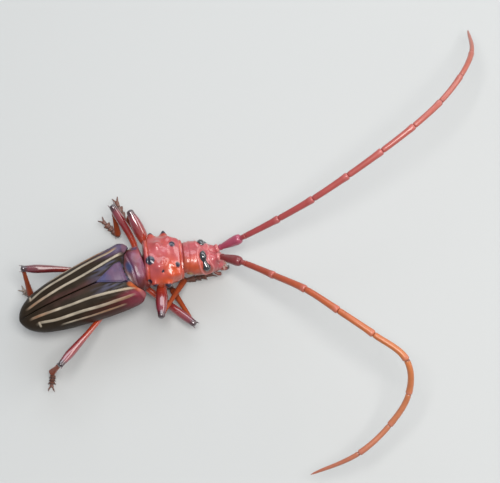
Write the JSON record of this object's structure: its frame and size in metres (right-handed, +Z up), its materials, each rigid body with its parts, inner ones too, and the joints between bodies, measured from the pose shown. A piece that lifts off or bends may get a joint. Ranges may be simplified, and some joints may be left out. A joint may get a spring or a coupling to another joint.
{
  "type": "longhorn beetle model",
  "caption": "Life-size still model of a red longhorn beetle with dark, pale-striped wing cases and very long antennae, standing on its feet.",
  "frame": {"origin": "on the floor plane under the middle of the whole beetle's box, antennae included", "axes": "+X forward along the body, +Y to the beetle's left, +Z up"},
  "size_m": [0.0678, 0.0456, 0.0136],
  "materials": {
    "elytron": "glossy dark brown shell with raised pale stripes",
    "red_shell": "glossy orange-red shell with black spots",
    "dark_shell": "glossy dark purple-red shell",
    "leg": "glossy red shell",
    "tarsus": "orange-brown shell with short hairs",
    "antenna": "orange-red, finely punctured",
    "eye": "black, shiny"
  },
  "bodies": {
    "root": {"abdomen": "dark_shell", "antenna_left_flagellum_base": "antenna", "antenna_left_flagellum_middle": "antenna", "antenna_left_flagellum_tip": "antenna", "antenna_left_scape": "antenna", "antenna_right_flagellum_base": "antenna", "antenna_right_flagellum_middle": "antenna", "antenna_right_flagellum_tip": "antenna", "antenna_right_scape": "antenna", "elytron_left": "elytron", "elytron_right": "elytron", "eye_left": "eye", "eye_right": "eye", "head": "red_shell", "leg_left_fore_femur": "leg", "leg_left_fore_tarsus": "tarsus", "leg_left_fore_tibia": "leg", "leg_left_hind_femur": "leg", "leg_left_hind_tarsus": "tarsus", "leg_left_hind_tibia": "leg", "leg_left_middle_femur": "leg", "leg_left_middle_tarsus": "tarsus", "leg_left_middle_tibia": "leg", "leg_right_fore_femur": "leg", "leg_right_fore_tarsus": "tarsus", "leg_right_fore_tibia": "leg", "leg_right_hind_femur": "leg", "leg_right_hind_tarsus": "tarsus", "leg_right_hind_tibia": "leg", "leg_right_middle_femur": "leg", "leg_right_middle_tarsus": "tarsus", "leg_right_middle_tibia": "leg", "mandible_left": "dark_shell", "mandible_right": "dark_shell", "palp_left": "dark_shell", "palp_right": "dark_shell", "pronotum": "red_shell", "scutellum": "dark_shell", "thorax": "dark_shell"}
  },
  "joints": []
}
